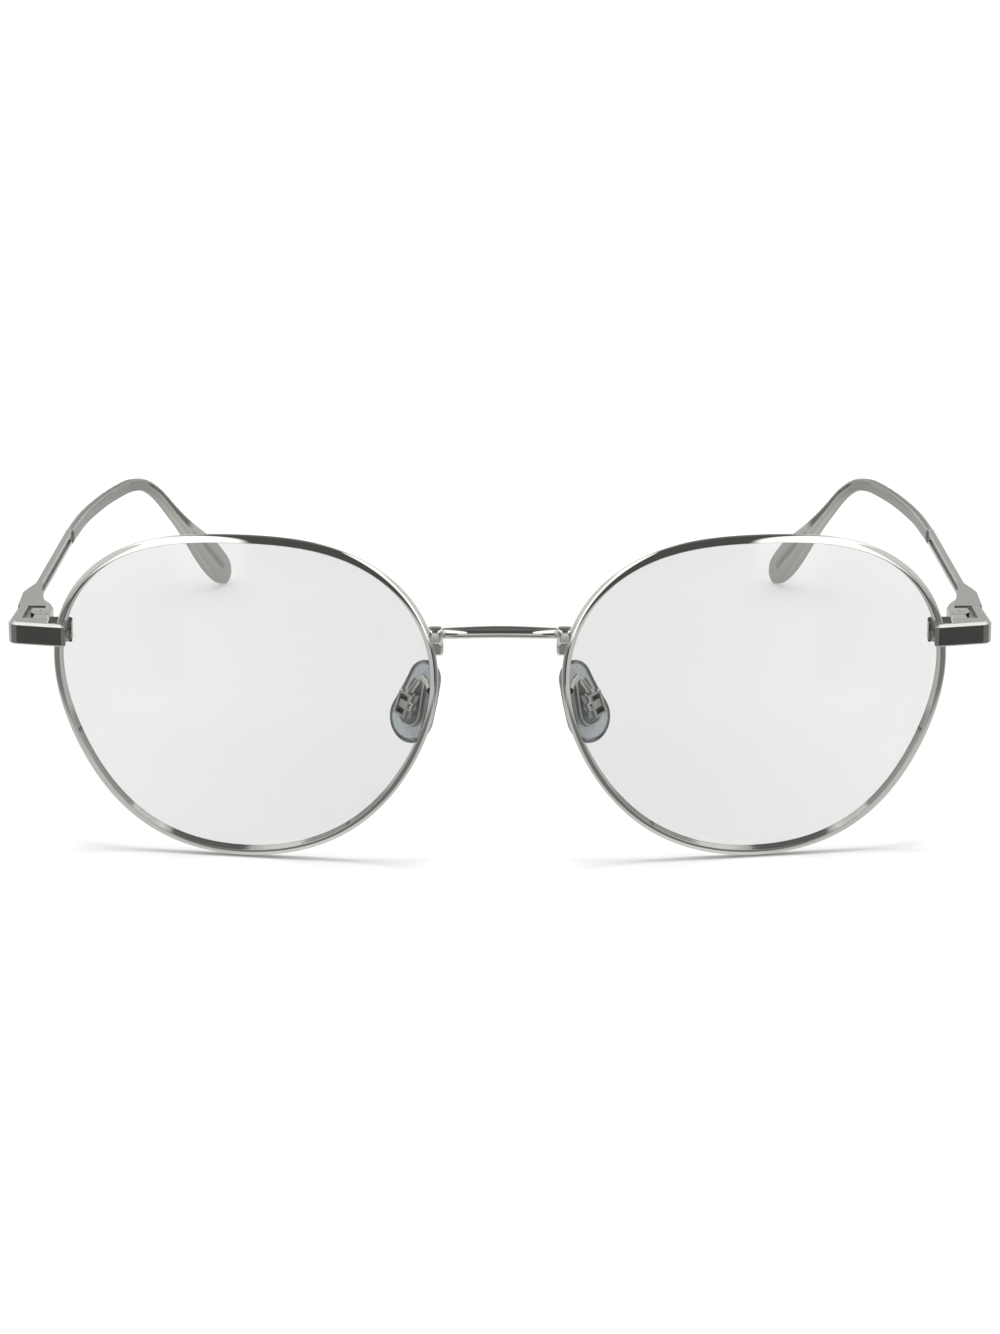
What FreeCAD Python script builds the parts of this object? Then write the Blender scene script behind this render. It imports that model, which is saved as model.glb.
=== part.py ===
import FreeCAD, Part
import Sketcher
import os
import math

# Round wire spectacle frame. Millimetres. X = towards the wearer's left,
# Y = towards the back of the head, Z = up. The frame stands open on a table (Z = 0)
# on the two rims and the two temple ends. Every handed piece is modelled on the
# wearer's right (-X) and mirrored across X = 0.

Vector = FreeCAD.Vector
os.makedirs("parts", exist_ok=True)
doc = FreeCAD.newDocument("spectacles")

# ---------------------------------------------------------------- sizes
# In a name, "in" is the side towards the middle of the frame, "out" the side away from
# it, and "play" a clearance.
SIZES = {
    # where the assembly sits: the front leans forward, the temples fall towards the back
    "shift_back": -64.478, "shift_up": -0.0184, "front_lean_deg": 2.0,
    "temple_fall_deg": 4.0, "temple_toe_deg": 1.72,

    # rim outline: a polar series of cosines (c) and sines (s) about the boxing centre,
    # with angle 0 towards the nose
    "rim_r0": 24.608,
    "rim_c1": 0.074, "rim_s1": 0.906,
    "rim_c2": 1.51, "rim_s2": 0.039,
    "rim_c3": 0.112, "rim_s3": 1.072,
    "rim_c4": -0.341, "rim_s4": -0.059,
    "rim_c5": 0.028, "rim_s5": 0.128,

    # rim and lens; base_curve is the radius of the sphere they lie on
    "rim_centre_x": -35.332, "rim_centre_z": 23.427, "face_form_deg": 8.5,
    "base_curve": 150.0, "rim_thick": 1.1, "rim_deep": 1.75, "rim_bevel": 0.22,
    "groove_deep": 0.5, "groove_wide": 0.8, "rim_gap": 0.12,
    "lens_thick": 1.3, "lens_play": 0.03,

    # bridge bar and its two feet
    "bridge_half": 7.68, "bridge_y": -0.45, "bridge_bow": 0.65,
    "bridge_z_end": 33.33, "bridge_rise": 0.42, "bridge_tall": 1.4,
    "bridge_deep_end": 1.3, "bridge_deep_mid": 2.3, "bridge_corner": 0.28,
    "foot_x": -9.9, "foot_z_low": 30.53, "foot_z_top": 34.27,
    "foot_y": -2.05, "foot_deep": 2.3, "foot_round": 0.8,

    # origin of the temple's frame, before the shift
    "pivot_x": -63.1, "pivot_y": 12.2, "pivot_z": 30.62,

    # endpiece, in the temple's frame; the seam is where it meets the temple
    "end_tall": 3.1, "end_in_x": 3.86, "end_in_y": -8.69,
    "end_out_x": -4.3, "end_out_y": -6.7, "seam_x": -4.10, "seam_y": 2.95,
    "wall_x": -2.6, "bar_back_y": -4.3, "bar_in_x": 1.35,
    "bar_step_x": 1.6, "bar_step_y": -7.4,
    "end_corner": 1.7, "end_chamfer": 0.36, "end_side_chamfer": 0.5,

    # hinge, in the temple's frame
    "knuckle_r": 1.45, "knuckle_top": 1.4, "knuckle_mid": 0.42, "knuckle_play": 0.03,
    "knuckle_back_play": 0.15,
    "web_in": 0.75, "web_out": -1.15, "web_y": -1.45, "neck_lap": 0.3,
    "hinge_x": -0.5, "hinge_y": 0.2, "hinge_pin_r": 0.6, "hinge_bore_r": 0.63,
    "hinge_pin_short": 0.08, "hinge_head_r": 1.0, "hinge_head_tall": 0.45,
    "hinge_slot_wide": 0.3, "hinge_slot_deep": 0.22, "hinge_slot_half": 1.4,
    "leaf_in": 0.95, "leaf_out": -1.95, "leaf_step": 0.6,
    "leaf_mid_x": 0.2, "leaf_mid_y": 4.9, "leaf_tail_x": 0.05, "leaf_tail_y": 0.1,
    "leaf_seam_x": -1.3, "leaf_seam_y": 5.2, "leaf_seam_step": 0.1,

    # temple: root, shoulder, straight blade, channel in its inner face, core wire
    "root_in_x0": -0.2, "root_in_x1": -1.02, "root_in_y1": 7.4,
    "root_in_x2": -2.05, "root_in_y2": 13.6,
    "root_out_x1": -4.46, "root_out_y1": 11.3, "root_out_x2": -4.15, "root_out_y2": 13.4,
    "blade_y0": 17.0, "blade_in_lag": 1.1, "blade_y1": 53.1,
    "blade_in": -2.58, "blade_out": -3.38, "blade_drop": 0.5,
    "channel_y0": 9.0, "channel_y1": 52.3, "channel_tall": 0.85,
    "channel_deep": 0.3, "channel_z": 0.52, "channel_over": 0.6,
    "channel_mouth_y": 0.4, "channel_floor_y": 0.6, "channel_floor_x": 0.42,
    "channel_end_slope": 0.5,
    "core_r": 0.33, "core_long": 6.0, "core_lap": 0.4,

    # rim closing block and its screw
    "lock_x0": -62.0, "lock_x1": -58.75, "lock_y0": 5.8, "lock_y1": 9.3,
    "lock_z": 31.15, "lock_low": 1.55, "lock_high": 1.15, "lock_gap": 0.06,
    "lock_screw_x": -60.25, "lock_screw_y": 8.25, "lock_pin_r": 0.5,
    "lock_pin_short": 0.15, "lock_head_r": 0.85, "lock_head_tall": 0.4,
    "lock_bore_r": 0.5, "lock_slot_half": 1.2,

    # nose pad, its core, box and screw
    "pad_x": -11.35, "pad_y": 6.9, "pad_z": 20.75,
    "pad_splay_deg": 45.0, "pad_lean_deg": 17.0,
    "pad_low_r": 3.95, "pad_low_z": -2.3, "pad_high_r": 2.65, "pad_high_z": 3.4,
    "pad_thick": 2.1, "pad_round": 0.95,
    "core_scale": 0.58, "core_plate": 0.6, "core_face": 0.1, "core_z": -0.3,
    "box_x": -2.3, "box_wide": 2.3, "box_tall": 3.4, "box_deep": 1.6, "box_wall": 0.34,
    "lug_wide": 1.5, "lug_tall": 1.1, "lug_front": -2.9, "lug_root": -0.4,
    "pad_pin_r": 0.4, "pad_bore_r": 0.43, "pad_head_r": 0.65, "pad_head_tall": 0.32,

    # pad arm, points before the shift
    "arm_r": 0.45, "arm_lap": 0.1,
    "arm_foot_x": -9.5, "arm_foot_y": -2.2, "arm_foot_z": 24.9,
    "arm_top_x": -10.5, "arm_top_y": 3.5, "arm_top_z": 25.3,

    # corner cuts of a temple tip section, as shares of its thickness and height
    "tip_cut_thick": 0.26, "tip_cut_tall": 0.24,
}
# Temple tip: stations along the rod, in the temple's frame. Columns: key, x, y, z of the
# centre, pitch and yaw in degrees, thickness, height.
TIP_COLUMNS = ("x", "y", "z", "pitch", "yaw", "thick", "tall")
TIP = [
    ("a", -2.90, 53.1, 0.40, 0.0, 0.0, 1.15, 2.25),
    ("b", -2.92, 57.0, 0.40, 0.0, -3.5, 1.45, 2.15),
    ("c", -2.46, 67.5, 0.38, 0.0, -6.5, 1.50, 2.05),
    ("d", -0.98, 79.5, 0.36, 0.0, -10.0, 1.55, 2.00),
    ("e", 0.87, 88.3, 0.33, -2.0, -15.0, 1.60, 2.00),
    ("f", 2.15, 92.3, 0.18, -7.0, -19.0, 1.60, 1.95),
    ("g", 3.62, 96.1, -0.65, -20.0, -21.0, 1.60, 1.90),
    ("k", 5.25, 99.9, -2.85, -35.0, -23.0, 1.65, 1.90),
    ("n", 7.25, 104.6, -6.90, -38.0, -23.5, 1.75, 2.15),
    ("p", 9.15, 109.2, -10.80, -38.0, -23.5, 1.95, 2.95),
    ("q", 11.35, 114.5, -15.25, -38.0, -23.5, 2.25, 4.70),
    ("w", 12.60, 117.6, -17.88, -38.0, -23.5, 2.30, 5.00),
    ("x", 13.65, 120.2, -20.05, -38.0, -23.5, 2.05, 4.30),
    ("y", 14.22, 121.5, -21.19, -38.0, -23.5, 1.30, 2.70),
]
for key, *values in TIP:
    for column, value in zip(TIP_COLUMNS, values):
        SIZES["tip_%s_%s" % (key, column)] = value

OUTLINE_COUNT = 96                  # points on the rim outline
CONE_FRONT, CONE_BACK = -7.0, 14.0  # local Y of the two ends of an outline cone
SLIT_LONG, SLIT_DEEP = 9, 12        # box that splits the rim
SLIT_BEFORE = 4                     # how far that box starts before the split, in X and Y
# sections of the bridge as fractions of its half length
BRIDGE_STATIONS = (-1.0, -0.75, -0.45, 0.0, 0.45, 0.75, 1.0)
TOUCH = 1e-4                        # two coordinates closer than this are the same

sheet = doc.addObject("Spreadsheet::Sheet", "P")
for line, (alias, value) in enumerate(SIZES.items(), start=1):
    sheet.set("A%d" % line, alias)
    sheet.set("B%d" % line, "%.6g" % value)
    sheet.setAlias("B%d" % line, alias)
doc.recompute()


class Dim:
    """A size: its expression on the sheet and its present value."""

    def __init__(self, text, value):
        self.text = text
        self.value = value

    def _pair(self, other, sign, work_out):
        other = as_dim(other)
        text = "(%s %s %s)" % (self.text, sign, other.text)
        return Dim(text, work_out(self.value, other.value))

    def __add__(self, other):
        return self._pair(other, "+", lambda a, b: a + b)

    def __sub__(self, other):
        return self._pair(other, "-", lambda a, b: a - b)

    def __mul__(self, other):
        return self._pair(other, "*", lambda a, b: a * b)

    def __truediv__(self, other):
        return self._pair(other, "/", lambda a, b: a / b)

    def __neg__(self):
        return Dim("(0 - %s)" % self.text, -self.value)


def as_dim(size):
    if isinstance(size, Dim):
        return size
    return Dim("(%.6f)" % float(size), float(size))


class Names:
    """The sheet's aliases as attributes."""


dim = Names()       # each size as a Dim, for what is bound to the sheet
num = Names()       # each size as a plain number
for alias in SIZES:
    setattr(num, alias, float(sheet.get(alias)))
    setattr(dim, alias, Dim("P." + alias, getattr(num, alias)))


# ---------------------------------------------------------------- frames
def turn_x(degrees):
    return FreeCAD.Rotation(Vector(1, 0, 0), degrees)


def turn_y(degrees):
    return FreeCAD.Rotation(Vector(0, 1, 0), degrees)


def turn_z(degrees):
    return FreeCAD.Rotation(Vector(0, 0, 1), degrees)


SHIFT = Vector(0, num.shift_back, num.shift_up)
FRONT = FreeCAD.Placement(SHIFT, turn_x(num.front_lean_deg))
TEMPLE = FreeCAD.Placement(
    Vector(num.pivot_x, num.pivot_y, num.pivot_z) + SHIFT,
    turn_x(-num.temple_fall_deg).multiply(turn_z(-num.temple_toe_deg)))
# lens frame: local X towards the nose, Z up, Y to the back
LENS = FRONT.multiply(FreeCAD.Placement(
    Vector(num.rim_centre_x, 0, num.rim_centre_z), turn_z(-num.face_form_deg)))
# pad frame: local X faces the nose, Y across the pad, Z along it
PAD = FreeCAD.Placement(
    Vector(num.pad_x, num.pad_y, num.pad_z) + SHIFT,
    turn_y(num.pad_lean_deg).multiply(turn_z(num.pad_splay_deg)))


# ---------------------------------------------------------------- sketches
def new_body(name, placement):
    body = doc.addObject("PartDesign::Body", name)
    body.Placement = placement
    return body


def new_sketch(body, name, role):
    sketch = body.newObject("Sketcher::SketchObject", name)
    plane = [o for o in body.Origin.OriginFeatures if o.Role == role][0]
    sketch.AttachmentSupport = [(plane, "")]
    sketch.MapMode = "FlatFace"
    return sketch


def set_height(sketch, height):
    """Move a sketch along its plane's normal."""
    sketch.setExpression(".AttachmentOffset.Base.z", height.text)


def constrain(sketch, name, size, kind, *target):
    """A driving constraint bound to a size."""
    index = sketch.addConstraint(Sketcher.Constraint(kind, *target, size.value))
    sketch.renameConstraint(index, name)
    sketch.setExpression("Constraints." + name, size.text)


def pin_point(sketch, geo, pos, x, y, name):
    """Fix a point of the sketch at (x, y) from the sketch's origin."""
    constrain(sketch, name + "_x", as_dim(x), "DistanceX", -1, 1, geo, pos)
    constrain(sketch, name + "_y", as_dim(y), "DistanceY", -1, 1, geo, pos)


def polygon(body, name, points, role="XY_Plane"):
    sketch = new_sketch(body, name, role)
    points = [(as_dim(x), as_dim(y)) for x, y in points]
    corners = [Vector(x.value, y.value, 0) for x, y in points]
    count = len(points)
    for i in range(count):
        sketch.addGeometry(Part.LineSegment(corners[i], corners[(i + 1) % count]), False)
    for i in range(count):
        sketch.addConstraint(Sketcher.Constraint("Coincident", i, 2, (i + 1) % count, 1))
    for i, (x, y) in enumerate(points):
        pin_point(sketch, i, 1, x, y, "corner%d" % i)
    return sketch


def rectangle(body, name, x0, y0, x1, y1, role="XY_Plane"):
    return polygon(body, name, [(x0, y0), (x1, y0), (x1, y1), (x0, y1)], role)


def octagon(x, y, half_x, half_y, cut_x, cut_y):
    """Corners of a rectangle about (x, y) with its own corners cut off."""
    x, y = as_dim(x), as_dim(y)
    return [
        (x - half_x + cut_x, y - half_y), (x + half_x - cut_x, y - half_y),
        (x + half_x, y - half_y + cut_y), (x + half_x, y + half_y - cut_y),
        (x + half_x - cut_x, y + half_y), (x - half_x + cut_x, y + half_y),
        (x - half_x, y + half_y - cut_y), (x - half_x, y - half_y + cut_y)]


def circle(body, name, x, y, radius, role="XY_Plane"):
    sketch = new_sketch(body, name, role)
    x, y = as_dim(x), as_dim(y)
    centre = Vector(x.value, y.value, 0)
    geo = sketch.addGeometry(Part.Circle(centre, Vector(0, 0, 1), radius.value), False)
    constrain(sketch, "radius", radius, "Radius", geo)
    pin_point(sketch, geo, 3, x, y, "centre")
    return sketch


def capsule(body, name, low_y, low_r, top_y, top_r):
    """YZ sketch of two end arcs joined by their common tangents (along sketch Y)."""
    sketch = new_sketch(body, name, "YZ_Plane")
    sine = (low_r.value - top_r.value) / (top_y.value - low_y.value)
    cosine = math.sqrt(1 - sine * sine)
    angle = math.asin(sine)

    def tangent_point(y, radius, side):
        return Vector(side * radius.value * cosine, y.value + radius.value * sine, 0)

    def arc(y, radius, start, end):
        whole = Part.Circle(Vector(0, y.value, 0), Vector(0, 0, 1), radius.value)
        return sketch.addGeometry(Part.ArcOfCircle(whole, start, end), False)

    def side_line(start, end):
        return sketch.addGeometry(Part.LineSegment(start, end), False)

    top = arc(top_y, top_r, angle, math.pi - angle)
    left = side_line(tangent_point(top_y, top_r, -1), tangent_point(low_y, low_r, -1))
    low = arc(low_y, low_r, math.pi - angle, 2 * math.pi + angle)
    right = side_line(tangent_point(low_y, low_r, 1), tangent_point(top_y, top_r, 1))
    for one, following in ((top, left), (left, low), (low, right), (right, top)):
        sketch.addConstraint(Sketcher.Constraint("Tangent", one, 2, following, 1))
    pin_point(sketch, low, 3, 0, low_y, "low")
    pin_point(sketch, top, 3, 0, top_y, "top")
    constrain(sketch, "low_radius", low_r, "Radius", low)
    constrain(sketch, "top_radius", top_r, "Radius", top)
    return sketch


# ---------------------------------------------------------------- features
def pad_out(body, name, sketch, low, high):
    """Pad of a sketch from sketch-normal height low to high."""
    set_height(sketch, low)
    pad = body.newObject("PartDesign::Pad", name)
    pad.Profile = sketch
    pad.Length = high.value - low.value
    pad.setExpression("Length", (high - low).text)
    doc.recompute()
    return pad


def pocket(body, name, sketch, length=None, reverse=False, midplane=False):
    """Pocket of a sketch; without a length it goes through everything."""
    before = body.Shape.Volume
    feature = body.newObject("PartDesign::Pocket", name)
    feature.Profile = sketch
    if length is None:
        feature.Type = "ThroughAll"
    else:
        length = as_dim(length)
        feature.Length = length.value
        feature.setExpression("Length", length.text)
    feature.Midplane = midplane
    feature.Reversed = reverse
    doc.recompute()
    if abs(before - feature.Shape.Volume) < 1e-4:
        raise RuntimeError("feature %s removed nothing" % name)


def edges_of(feature, test):
    return ["Edge%d" % i for i, e in enumerate(feature.Shape.Edges, start=1) if test(e)]


def edges_at(feature, **place):
    """Edges whose two ends both have the given coordinates, such as x=1, y=2."""
    return edges_of(feature, lambda e: len(e.Vertexes) == 2 and all(
        abs(getattr(v.Point, axis) - value) < TOUCH
        for v in e.Vertexes for axis, value in place.items()))


def dress(body, kind, name, base, edge_names, size):
    """Fillet or chamfer of some edges."""
    feature = body.newObject("PartDesign::" + kind, name)
    feature.Base = (base, edge_names)
    prop = "Radius" if kind == "Fillet" else "Size"
    setattr(feature, prop, size.value)
    feature.setExpression(prop, size.text)
    doc.recompute()
    return feature


def loft(body, name, sections):
    feature = body.newObject("PartDesign::AdditiveLoft", name)
    feature.Profile = sections[0]
    feature.Sections = sections[1:]
    feature.Ruled = False
    doc.recompute()


def fixed_shape(name, shape):
    """A ready shape in the lens frame."""
    feature = doc.addObject("Part::Feature", name)
    feature.Shape = shape
    feature.Placement = LENS
    doc.recompute()
    return feature


def cut(name, base, tool):
    feature = doc.addObject("Part::Cut", name)
    feature.Base = base
    feature.Tool = tool
    doc.recompute()
    return feature


def mirrored(name, source):
    feature = doc.addObject("Part::Mirroring", name)
    feature.Source = source
    feature.Base = Vector(0, 0, 0)
    feature.Normal = Vector(1, 0, 0)
    doc.recompute()
    return feature


NODES = []          # every exported piece


def keep(obj, label):
    obj.Label = label
    NODES.append(obj)


def pair(obj, stem):
    """The piece and its mirror image, as two nodes."""
    keep(obj, stem + "_right")
    keep(mirrored(stem + "_mirror", obj), stem + "_left")


def both(obj, label):
    """The same fastener on both sides, one node holding two separate solids."""
    mirror = mirrored(label + "_mirror", obj)
    obj.Label = label + "_one"
    mirror.Label = label + "_two"
    group = doc.addObject("Part::Compound", label + "_group")
    group.Links = [obj, mirror]
    doc.recompute()
    keep(group, label)


def slotted_screw(stem, frame, x, y, seat, pin_top, pin_r, head_r, head_tall, slot_half):
    """Upright screw, its slotted head below the height seat."""
    body = new_body(stem + "_body", frame)
    pad_out(body, stem + "_pin", circle(body, stem + "_shank", x, y, pin_r), seat, pin_top)
    head_low = seat - head_tall
    pad_out(body, stem + "_head", circle(body, stem + "_round", x, y, head_r), head_low, seat)
    half_wide = dim.hinge_slot_wide / 2
    slot = rectangle(body, stem + "_slot",
                     x - slot_half, y - half_wide, x + slot_half, y + half_wide)
    set_height(slot, head_low)
    pocket(body, stem + "_cut", slot, dim.hinge_slot_deep, reverse=True)
    return body


# ---------------------------------------------------------------- rim and lens
# The outline lies on the base-curve sphere, whose centre is straight behind the lens.
BALL_R = num.base_curve
BALL_CENTRE = Vector(0, BALL_R, 0)


def outline(offset):
    """Outline points on the sphere, moved outwards by offset."""
    points = []
    for i in range(OUTLINE_COUNT):
        angle = 2 * math.pi * i / OUTLINE_COUNT
        radius = num.rim_r0
        slope = 0.0
        for k in range(1, 6):
            cos_size, sin_size = getattr(num, "rim_c%d" % k), getattr(num, "rim_s%d" % k)
            radius += cos_size * math.cos(k * angle) + sin_size * math.sin(k * angle)
            slope += k * (-cos_size * math.sin(k * angle) + sin_size * math.cos(k * angle))
        x, z = radius * math.cos(angle), radius * math.sin(angle)
        along_x = slope * math.cos(angle) - radius * math.sin(angle)
        along_z = slope * math.sin(angle) + radius * math.cos(angle)
        length = math.hypot(along_x, along_z)
        x, z = x + offset * along_z / length, z - offset * along_x / length
        points.append(Vector(x, BALL_R - math.sqrt(BALL_R * BALL_R - x * x - z * z), z))
    return points


def spline_at(points, depth):
    """The outline projected from the sphere's centre onto the plane local Y = depth."""
    flat = []
    for p in points:
        scale = (BALL_R - depth) / (BALL_R - p.y)
        flat.append(Vector(p.x * scale, depth, p.z * scale))
    curve = Part.BSplineCurve()
    curve.interpolate(flat, PeriodicFlag=True)
    return Part.Wire([curve.toShape()])


def cone(offset):
    points = outline(offset)
    ends = [spline_at(points, CONE_FRONT), spline_at(points, CONE_BACK)]
    return Part.makeLoft(ends, True, True)


def shell_part(solid, half_deep):
    """The piece of a cone within half_deep of the sphere's surface."""
    outer = Part.makeSphere(BALL_R + half_deep, BALL_CENTRE)
    inner = Part.makeSphere(BALL_R - half_deep, BALL_CENTRE)
    return solid.common(outer).cut(inner)


half_thick, half_deep = num.rim_thick / 2, num.rim_deep / 2
groove_out = -half_thick + num.groove_deep


def is_front_edge(edge):
    """One of the long edges of the rim's front face."""
    middle = edge.valueAt((edge.FirstParameter + edge.LastParameter) / 2)
    height = (middle - BALL_CENTRE).Length - BALL_R
    return abs(height - half_deep) < 0.02 and edge.Length > 20


def split_rim(ring):
    """Part the rim at the closing block."""
    split = LENS.inverse().multVec(FRONT.multVec(
        Vector(num.lock_x0, num.lock_y0, num.lock_z)))
    corner = Vector(split.x - SLIT_BEFORE, -SLIT_BEFORE, split.z - num.rim_gap / 2)
    return ring.cut(Part.makeBox(SLIT_LONG, SLIT_DEEP, num.rim_gap, corner))


blank_shape = shell_part(cone(half_thick), half_deep)
ring = blank_shape.cut(cone(-half_thick))
ring = ring.cut(shell_part(cone(groove_out), num.groove_wide / 2))
ring = ring.makeChamfer(num.rim_bevel, [e for e in ring.Edges if is_front_edge(e)])
ring = split_rim(ring)
eyewire = fixed_shape("eyewire_shape", ring.Solids[0] if len(ring.Solids) == 1 else ring)
# the rim with its opening filled, which is cut out of the pieces that meet the rim
blank = fixed_shape("rim_blank", blank_shape)
pair(eyewire, "eyewire")

# the lens has a tongue round its edge that sits in the rim's groove
glass = shell_part(cone(-half_thick - num.lens_play), num.lens_thick / 2)
tongue = shell_part(cone(groove_out - num.lens_play), num.groove_wide / 2 - num.lens_play)
lens_shape = glass.fuse(tongue).removeSplitter()
pair(fixed_shape("lens_shape", lens_shape.Solids[0]), "lens")


# ---------------------------------------------------------------- bridge
def make_bridge():
    body = new_body("bridge_body", FRONT)
    sections = []
    for i, station in enumerate(BRIDGE_STATIONS):
        bulge = 1 - station * station
        bow = 1 - abs(station) ** 3
        deep = dim.bridge_deep_end + (dim.bridge_deep_mid - dim.bridge_deep_end) * bulge
        corners = octagon(
            dim.bridge_y - dim.bridge_bow * bow, dim.bridge_z_end + dim.bridge_rise * bulge,
            deep / 2, dim.bridge_tall / 2, dim.bridge_corner, dim.bridge_corner)
        section = polygon(body, "bridge_s%d" % i, corners, "YZ_Plane")
        set_height(section, dim.bridge_half * station)
        sections.append(section)
    loft(body, "bridge_loft", sections)
    keep(body, "bridge")


def make_foot():
    """A small bracket between the bridge and the nasal side of the rim."""
    body = new_body("foot_body", FRONT)
    sketch = rectangle(body, "foot_outline", dim.foot_x, dim.foot_z_low,
                       -dim.bridge_half, dim.foot_z_top, "XZ_Plane")
    # the XZ plane's normal points forwards, so depths behind are negative
    pad = pad_out(body, "foot_pad", sketch, -(dim.foot_y + dim.foot_deep), -dim.foot_y)
    corner = edges_at(pad, x=-num.bridge_half, z=num.foot_z_low)
    dress(body, "Fillet", "foot_corner", pad, corner, dim.foot_round)
    pair(cut("foot_fitted", body, blank), "bridge_foot")


make_bridge()
make_foot()

# ---------------------------------------------------------------- endpiece
half_tall = dim.end_tall / 2


def is_front_rim(edge):
    """A top or bottom edge of the front face or of its rounded corner."""
    box = edge.BoundBox
    if box.ZMax - box.ZMin > TOUCH or abs(abs(box.ZMax) - half_tall.value) > TOUCH:
        return False
    middle = edge.valueAt((edge.FirstParameter + edge.LastParameter) / 2)
    on_inner_end = middle.x > num.bar_in_x + 0.2 and middle.y > num.end_in_y + 0.9
    return middle.y < num.end_out_y + 1.2 and not on_inner_end


def make_endpiece():
    """Plan outline in the temple's frame, whose origin is at mid height near the hinge."""
    body = new_body("end_body", TEMPLE)
    sketch = polygon(body, "end_outline", [
        (dim.end_in_x, dim.end_in_y), (dim.end_in_x, dim.bar_step_y),
        (dim.bar_step_x, dim.bar_step_y), (dim.bar_in_x, dim.bar_back_y),
        (dim.wall_x, dim.bar_back_y), (dim.wall_x, dim.seam_y),
        (dim.seam_x, dim.seam_y), (dim.end_out_x, dim.end_out_y)])
    last = pad_out(body, "end_pad", sketch, -half_tall, half_tall)
    outer_corner = edges_at(last, x=num.end_out_x, y=num.end_out_y)
    last = dress(body, "Fillet", "end_corner", last, outer_corner, dim.end_corner)
    inner_corner = edges_at(last, x=num.end_in_x, y=num.end_in_y)
    last = dress(body, "Chamfer", "end_side", last, inner_corner, dim.end_side_chamfer)
    top = edges_of(last, lambda e: is_front_rim(e) and e.BoundBox.ZMax > 0)
    last = dress(body, "Chamfer", "end_top", last, top, dim.end_chamfer)
    low = edges_of(last, lambda e: is_front_rim(e) and e.BoundBox.ZMax < 0)
    dress(body, "Chamfer", "end_low", last, low, dim.end_chamfer / 2)
    return cut("end_fitted", body, blank)


endpiece = make_endpiece()
pair(endpiece, "endpiece")


# ---------------------------------------------------------------- rim closing block
def make_lock(word, low, high):
    """One half of the block, between two heights from the split."""
    stem = "lock_" + word
    body = new_body(stem + "_body", FRONT)
    sketch = rectangle(body, stem + "_outline",
                       dim.lock_x0, dim.lock_y0, dim.lock_x1, dim.lock_y1)
    block = pad_out(body, stem + "_pad", sketch, dim.lock_z + low, dim.lock_z + high)
    corner = edges_at(block, x=num.lock_x1, y=num.lock_y1)
    dress(body, "Fillet", stem + "_corner", block, corner, dim.lock_head_r)
    bore = circle(body, stem + "_bore", dim.lock_screw_x, dim.lock_screw_y, dim.lock_bore_r)
    pocket(body, stem + "_hole", bore, reverse=True)
    fitted = cut(stem + "_a", body, blank)
    pair(cut(stem + "_b", fitted, endpiece), "rim_lock_" + word)


make_lock("upper", dim.lock_gap / 2, dim.lock_high)
make_lock("lower", -dim.lock_low, -(dim.lock_gap / 2))
both(slotted_screw(
    "lock_screw", FRONT, dim.lock_screw_x, dim.lock_screw_y,
    seat=dim.lock_z - dim.lock_low,
    pin_top=dim.lock_z + dim.lock_high - dim.lock_pin_short,
    pin_r=dim.lock_pin_r, head_r=dim.lock_head_r, head_tall=dim.lock_head_tall,
    slot_half=dim.lock_slot_half), "closing_screws")


# ---------------------------------------------------------------- hinge
def hinge_circle(body, name, radius):
    return circle(body, name, dim.hinge_x, dim.hinge_y, radius)


def make_hinge_front():
    """The endpiece's half, with the middle knuckle."""
    body = new_body("hinge_front_body", TEMPLE)
    web = rectangle(body, "hf_web", dim.web_out, dim.bar_back_y, dim.web_in, dim.web_y)
    pad_out(body, "hf_web_pad", web, -dim.knuckle_top, dim.knuckle_top)
    neck = rectangle(body, "hf_neck",
                     dim.web_out, dim.web_y - dim.neck_lap, dim.web_in, dim.hinge_y)
    pad_out(body, "hf_neck_pad", neck, -dim.knuckle_mid, dim.knuckle_mid)
    knuckle = hinge_circle(body, "hf_knuckle", dim.knuckle_r)
    pad_out(body, "hf_knuckle_pad", knuckle, -dim.knuckle_mid, dim.knuckle_mid)
    bore = hinge_circle(body, "hf_bore", dim.hinge_pin_r)
    pocket(body, "hf_bore_cut", bore, length=6, midplane=True)
    pair(body, "hinge_front")


def make_hinge_rear():
    """The temple's half: a leaf with the upper and lower knuckles."""
    body = new_body("hinge_rear_body", TEMPLE)
    leaf = polygon(body, "hr_leaf", [
        (dim.leaf_in, dim.hinge_y), (dim.leaf_in, dim.seam_y - dim.leaf_step),
        (dim.leaf_mid_x, dim.leaf_mid_y),
        (dim.root_in_x1 + dim.leaf_tail_x, dim.root_in_y1 + dim.leaf_tail_y),
        (dim.leaf_seam_x, dim.leaf_seam_y),
        (dim.leaf_out, dim.seam_y + dim.leaf_seam_step), (dim.leaf_out, dim.hinge_y)])
    pad_out(body, "hr_leaf_pad", leaf, -dim.knuckle_top, dim.knuckle_top)
    knuckle = hinge_circle(body, "hr_knuckle", dim.knuckle_r)
    pad_out(body, "hr_knuckle_pad", knuckle, -dim.knuckle_top, dim.knuckle_top)
    # room for the middle knuckle, open to the front
    room = dim.knuckle_mid + dim.knuckle_play
    slot = rectangle(body, "hr_slot", dim.hinge_y - 4, -room,
                     dim.hinge_y + dim.knuckle_r + dim.knuckle_back_play, room, "YZ_Plane")
    pocket(body, "hr_slot_cut", slot, length=12, midplane=True)
    bore = hinge_circle(body, "hr_bore", dim.hinge_bore_r)
    pocket(body, "hr_bore_cut", bore, length=6, midplane=True)
    pair(body, "hinge_rear")
    return body


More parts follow.
